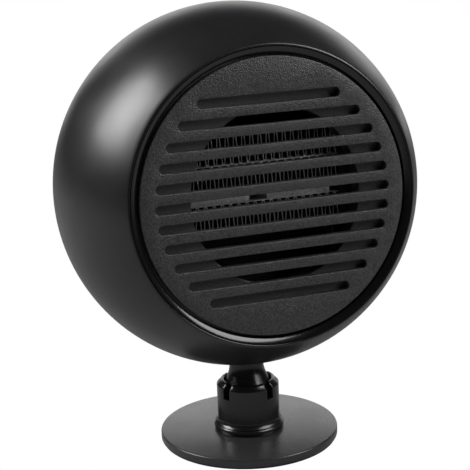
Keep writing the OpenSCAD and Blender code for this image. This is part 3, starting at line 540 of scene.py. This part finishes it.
# %% Foot and pad
FOOT_R, FOOT_T, PAD_T = 30.9, 2.8, 0.6
PAD_R = FOOT_R - 0.5
foot_bm = turned([(0, PAD_T), (FOOT_R, PAD_T), (FOOT_R, PAD_T + FOOT_T), (0, PAD_T + FOOT_T)], 160, closed=False)
break_edge(foot_bm, FOOT_R, PAD_T + FOOT_T, 0.55, 4)
break_edge(foot_bm, FOOT_R, PAD_T, 0.25, 2)
foot = finished(foot_bm, "foot_round", ROW, foot_satin, "foot_disc")
pad_bm = turned([(0, 0), (PAD_R, 0), (PAD_R, PAD_T), (0, PAD_T)], 96, closed=False)
break_edge(pad_bm, PAD_R, PAD_T, 0.2, 2)
pad = finished(pad_bm, "foot_pad_foam", ROW, pad_foam, "base_pad")

# %% [markdown]
# ## The post with its four fingers
# Four springy fingers grip the ball. The lower part is a turned tube with a rounded collar. Each
# finger is the same kind of profile spun through a little less than a quarter turn, and its edges
# are rounded, which is simpler and cleaner than cutting the gaps out of a whole tube.

# %% Post
BALL_R = 8.5
POST_R = 10.8
FLOOR_Z = -13.5
GAP_Z = -1.1
TIP_Z = 4.2
HOLD_R = circle_z(BALL_R + 0.15, 2.6)
BORE_R = BALL_R + 0.2
post_bm = turned([(2.0, FLOOR_Z), (POST_R + 1.2, FLOOR_Z)]
                 + arc(1.25, 110, 20, 8, (POST_R + 0.15, FLOOR_Z + 1.15))
                 + arc(2.6, 200, 268, 7, (POST_R + 2.6, FLOOR_Z + 4.4))[2:]
                 + [(POST_R, GAP_Z), (BORE_R, GAP_Z), (BORE_R, FLOOR_Z + 2), (2.0, FLOOR_Z + 2)], 96)
GAP_ANGLE = degrees(2.8 / POST_R)
finger_profile = ([(POST_R, GAP_Z), (POST_R, 2.4)] + arc(0.9, 80, 0, 4, (POST_R - 2.0, TIP_Z - 0.9))
                  + arc(0.4, 0, -90, 3, (HOLD_R + 0.4, TIP_Z - 0.4)) + [(HOLD_R, 2.7)]
                  + arc(BALL_R + 0.15, 73, 90, 4) + [(BORE_R, GAP_Z)])
for a in range(4):
    finger = turned(finger_profile, 14, bm=bmesh.new(), start=45 - 19.5 + 90 * a + GAP_ANGLE / 2, sweep=90 - GAP_ANGLE)
    bmesh.ops.recalc_face_normals(finger, faces=finger.faces[:])
    round_rims(finger, 0.22, 2, 70, lambda e: max(v.co.z for v in e.verts) > GAP_Z + 0.1)
    part = bpy.data.meshes.new("finger_part")
    finger.to_mesh(part)
    finger.free()
    post_bm.from_mesh(part)
    bpy.data.meshes.remove(part)
post = finished(post_bm, "post_four_finger", BALL, post_black, "collet_post")

# %% [markdown]
# ## Ball and neck
# The ball and the neck are one turned piece, shaped along the head's own neck axis. A flare
# runs from the neck into the ball, and the plain neck above it meets the shell.

# %% Neck
NECK_R, NECK_LIFT = 5.95, HEAD_R + 10.9
NECK = HEAD @ Matrix.Translation((0, -NECK_LIFT, 0)) @ Matrix.Rotation(-pi / 2, 4, "X")
NECK_END = NECK_LIFT - circle_z(HEAD_R, NECK_R) + 0.6
FLARE = radians(66)
FLARE_TOP = BALL_R * cos(FLARE) + (BALL_R * sin(FLARE) - NECK_R) * tan(FLARE)
neck_bm = turned([(0.0, -BALL_R)] + arc(BALL_R, 180, degrees(FLARE), 30)[1:] + [(NECK_R, FLARE_TOP)]
                 + [(NECK_R, NECK_END), (3.0, NECK_END), (3.0, NECK_END + 10.5), (0.0, NECK_END + 10.5)], 96, closed=False)
break_edge(neck_bm, NECK_R, FLARE_TOP, 1.5, 4)
neck = finished(neck_bm, "neck_with_ball", NECK, post_black, "neck_stem")

# %% [markdown]
# ## The rear cover
# The back closes the sphere with a ribbed intake and a flat hub that carries the switch and the
# cord's grommet. The cover is turned like the front shell; the slots are too many and run over a
# curved wall, so here a Boolean cuts them all at once from one cutter mesh.

# %% Rear cover
HUB_Z = -57.5
HUB_R = circle_z(HEAD_R, HUB_Z)
VENT_W, VENT_PITCH, VENT_OUT, VENT_IN = 2.4, 5.2, 41.0, HUB_R + 2.5


def stadium(bm, x0, x1, y, width, z0, z1):
    verts = slot_loop(bm, x0, x1, y, width, 16)
    face = bmesh.ops.contextual_create(bm, geom=verts)["faces"]
    bmesh.ops.translate(bm, verts=verts, vec=(0, 0, z0))
    top = bmesh.ops.extrude_face_region(bm, geom=face, use_keep_orig=True)["geom"]
    bmesh.ops.translate(bm, verts=[v for v in top if isinstance(v, bmesh.types.BMVert)], vec=(0, 0, z1 - z0))


cover_bm = turned([(0, HUB_Z), (HUB_R, HUB_Z)] + arc(HEAD_R, angle_at(HEAD_R, HUB_Z), angle_at(HEAD_R, SEAM_Z), 36)[1:]
                  + arc(INNER_R, angle_at(INNER_R, SEAM_Z), angle_at(INNER_R, HUB_Z + WALL), 24) + [(0, HUB_Z + WALL)],
                  160, closed=False)
break_edge(cover_bm, HUB_R, HUB_Z, 0.5)
break_edge(cover_bm, circle_z(HEAD_R, SEAM_Z), SEAM_Z, 0.3, 2)
cutter_bm = bmesh.new()
for i in range(-7, 8):
    y = i * VENT_PITCH
    outer = circle_z(VENT_OUT, y)
    if abs(y) > VENT_IN:
        stadium(cutter_bm, -outer, outer, y, VENT_W, -62, -30)
    else:
        inner = circle_z(VENT_IN, y) + VENT_W / 2
        stadium(cutter_bm, inner, outer, y, VENT_W, -62, -30)
        stadium(cutter_bm, -outer, -inner, y, VENT_W, -62, -30)
for a in (45, 135, 225, 315):
    at = Matrix.Rotation(radians(a), 3, "Z") @ Vector((48, 0, 0))
    rod(cutter_bm, 2.8, 2.8, -62, -30, (at.x, at.y), 24)
block(cutter_bm, (19, 13, 10), (0, 3, HUB_Z))
rod(cutter_bm, 4.0, 4.0, HUB_Z - 3, HUB_Z + 4, (0, -14), 32)
bmesh.ops.recalc_face_normals(cutter_bm, faces=cutter_bm.faces[:])
bmesh.ops.recalc_face_normals(cover_bm, faces=cover_bm.faces[:])


def cut_with(bm, cutter):
    """Cuts one bmesh out of another and returns the result as a new bmesh."""
    objects = []
    for name, source in (("cut_body", bm), ("cut_tool", cutter)):
        mesh = bpy.data.meshes.new(name)
        source.to_mesh(mesh)
        source.free()
        objects.append(bpy.data.objects.new(name, mesh))
        bpy.context.scene.collection.objects.link(objects[-1])
    cut = objects[0].modifiers.new("cut", "BOOLEAN")
    cut.operation = "DIFFERENCE"
    cut.solver = "EXACT"
    cut.object = objects[1]
    result = bmesh.new()
    result.from_object(objects[0], bpy.context.evaluated_depsgraph_get())
    for o in objects:
        mesh = o.data
        bpy.data.objects.remove(o)
        bpy.data.meshes.remove(mesh)
    return result


cover_bm = cut_with(cover_bm, cutter_bm)
add_lugs(cover_bm, (45, 135, 225, 315), 44.0, SEAM_Z - 3.0)
rear_cover = finished(cover_bm, "cover_rear", HEAD, shell_satin, "rear_cover", corner=30)

# %% [markdown]
# ## Switch, grommet and the rest
# The rocker is a short bar with a hollow for the finger. The grommet is a turned rubber ring. The
# remaining pieces keep their CAD shapes; on some of them the triangles are welded, flat faces are
# merged and a small bevel takes the hardness off their edges.

# %% Rocker and grommet
ROCKER = HEAD @ Matrix.Translation((0, 3, HUB_Z + 0.6)) @ Matrix.Rotation(pi / 2, 4, "Y")
rocker_bm = bmesh.new()
dish = [(12.2 - circle_z(9.2, y), y) for y in [0.7 * i - 4.2 for i in range(13)]]
outline = [(-1.2, -3.6), (-0.4, -4.5), (3.1, -4.5)] + dish + [(3.1, 4.5), (-0.4, 4.5), (-1.2, 3.6)]
side = rocker_bm.faces.new([rocker_bm.verts.new((x, y, -8)) for x, y in outline])
far = bmesh.ops.extrude_face_region(rocker_bm, geom=[side], use_keep_orig=True)["geom"]
bmesh.ops.translate(rocker_bm, verts=[v for v in far if isinstance(v, bmesh.types.BMVert)], vec=(0, 0, 16))
bmesh.ops.recalc_face_normals(rocker_bm, faces=rocker_bm.faces[:])
round_rims(rocker_bm, 0.3, 3, 45)
rod(rocker_bm, 1.0, 1.0, -8.9, 8.9)
rocker = finished(rocker_bm, "switch_rocker_key", ROCKER, rocker_gloss, "switch_rocker")
inlet_bm = turned([(2.75, -1.4), (5.2, -1.4), (5.2, 0), (4.0, 0), (4.0, WALL),
                   (4.9, WALL), (4.9, WALL + 1.4), (2.75, WALL + 1.4)], 48)
break_edge(inlet_bm, 5.2, -1.4, 0.5)
break_edge(inlet_bm, 2.75, -1.4, 0.4)
inlet = finished(inlet_bm, "cord_grommet", HEAD @ Matrix.Translation((0, -14, HUB_Z)), inlet_rubber, "cord_inlet")

# %% Finishes of the pieces kept from the CAD
kept = {
    "foot_screw": zinc_steel, "neck_washer": zinc_steel, "neck_nut": zinc_steel, "element_screws": zinc_steel,
    "carrier_screws": zinc_steel, "fan_screws": zinc_steel, "rear_screws": zinc_steel, "rotor_shaft": zinc_steel,
    "ball_seat": nylon_white, "ball_liner": felt_liner, "element_frame": frame_matt, "element_carrier": frame_matt,
    "thermostat": brown_phenolic, "thermal_fuse": fuse_case, "fan_frame": fan_black, "fan_rotor": fan_black,
    "fan_bushes": bush_brass, "switch_terminals": bush_brass, "stator_core": core_steel, "stator_coils": coil_copper,
    "rotor_magnet": ferrite_grey, "switch_body": switch_matt, "element_wires": wire_red, "fan_wires": wire_grey,
}
softened = {"element_frame": 0.3, "element_carrier": 0.2, "fan_frame": 0.4, "fan_rotor": 0.25, "switch_body": 0.3,
            "thermostat": 0.3, "rear_screws": 0.15, "fan_screws": 0.15, "carrier_screws": 0.15, "element_screws": 0.15}
for node, material in kept.items():
    piece = frame["nodes"][node]
    for slot_index in range(max(len(piece.material_slots), 1)):
        if piece.material_slots:
            piece.material_slots[slot_index].material = material
        else:
            piece.data.materials.append(material)
    if node in softened:
        weld = piece.modifiers.new("weld", "WELD")
        weld.merge_threshold = 1e-6
        flat = piece.modifiers.new("flat", "DECIMATE")
        flat.decimate_type = "DISSOLVE"
        flat.angle_limit = radians(1)
        soft = piece.modifiers.new("soft", "BEVEL")
        soft.width = softened[node] * MM
        soft.segments = 2
        soft.limit_method = "ANGLE"
        soft.angle_limit = radians(50)
print("CAD pieces with finishes:", len(kept))

# %% [markdown]
# ## Studio
# A glossy black object shows its surroundings more than itself, so most of the studio is dark and
# the light comes from a few large soft panels. The floor and the surround are white where the
# camera sees them directly and dim for everything else, as in a light tent with black cards.

# %% Floor and surround
def seen_white(nodes, links, shader, dim):
    """Mixes a white emission for direct sight with a dim one for light and reflections."""
    bright = nodes.new("ShaderNodeEmission")
    bright.inputs["Strength"].default_value = 1.0
    path = nodes.new("ShaderNodeLightPath")
    mix = nodes.new("ShaderNodeMixShader")
    links.new(path.outputs["Is Camera Ray"], mix.inputs["Fac"])
    links.new(dim, mix.inputs[1])
    links.new(bright.outputs["Emission"], mix.inputs[2])
    links.new(mix.outputs["Shader"], shader.inputs["Surface"])


floor_bm = bmesh.new()
bmesh.ops.create_grid(floor_bm, x_segments=8, y_segments=8, size=3.0)
floor_mesh = bpy.data.meshes.new("studio_floor")
floor_bm.to_mesh(floor_mesh)
floor_bm.free()
floor = bpy.data.objects.new("studio_floor", floor_mesh)
bpy.context.scene.collection.objects.link(floor)
paper, paper_nodes, paper_links = new_material("studio_paper")
paper_nodes["Principled BSDF"].inputs["Base Color"].default_value = (0.3, 0.3, 0.3, 1)
paper_nodes["Principled BSDF"].inputs["Roughness"].default_value = 0.9
paper_nodes["Principled BSDF"].inputs["Emission Color"].default_value = (1, 1, 1, 1)
paper_nodes["Principled BSDF"].inputs["Emission Strength"].default_value = 0.08
seen_white(paper_nodes, paper_links, paper_nodes["Material Output"], paper_nodes["Principled BSDF"].outputs["BSDF"])
floor_mesh.materials.append(paper)
world = bpy.data.worlds.new("studio")
world.use_nodes = True
dark_room = world.node_tree.nodes["Background"]
dark_room.inputs["Color"].default_value = (1, 1, 1, 1)
dark_room.inputs["Strength"].default_value = 0.03
seen_white(world.node_tree.nodes, world.node_tree.links, world.node_tree.nodes["World Output"], dark_room.outputs["Background"])
bpy.context.scene.world = world
bpy.context.scene.view_settings.view_transform = "Standard"


# %% Lights
def soft_light(name, toward, distance, size, power):
    """A soft panel; toward is its direction from the head as (right, up, nearer) for the camera."""
    data = bpy.data.lights.new(name, "AREA")
    data.shape = "RECTANGLE"
    data.size, data.size_y = size
    data.energy = power
    light = bpy.data.objects.new(name, data)
    direction = (toward[0] * cam_right + toward[1] * cam_up - toward[2] * look).normalized()
    light.location = head_centre + distance * direction
    light.rotation_euler = (-direction).to_track_quat("-Z", "Y").to_euler()
    light.visible_camera = False
    bpy.context.scene.collection.objects.link(light)
    return light


soft_light("key_upper_left", (-0.78, 0.52, 0.14), 0.7, (0.3, 0.42), 5.5)
soft_light("top_back", (0.05, 0.5, -0.88), 1.2, (1.4, 0.4), 2.6)
soft_light("back_panel", (0.1, 0.16, -1.0), 1.2, (1.6, 0.4), 2)
soft_light("rim_right", (0.64, -0.25, -0.73), 0.9, (0.15, 0.7), 2.6)
soft_light("face_right", (0.73, 0.5, 0.42), 0.5, (0.3, 0.3), 2.1)
print("lights:", len(bpy.data.lights))
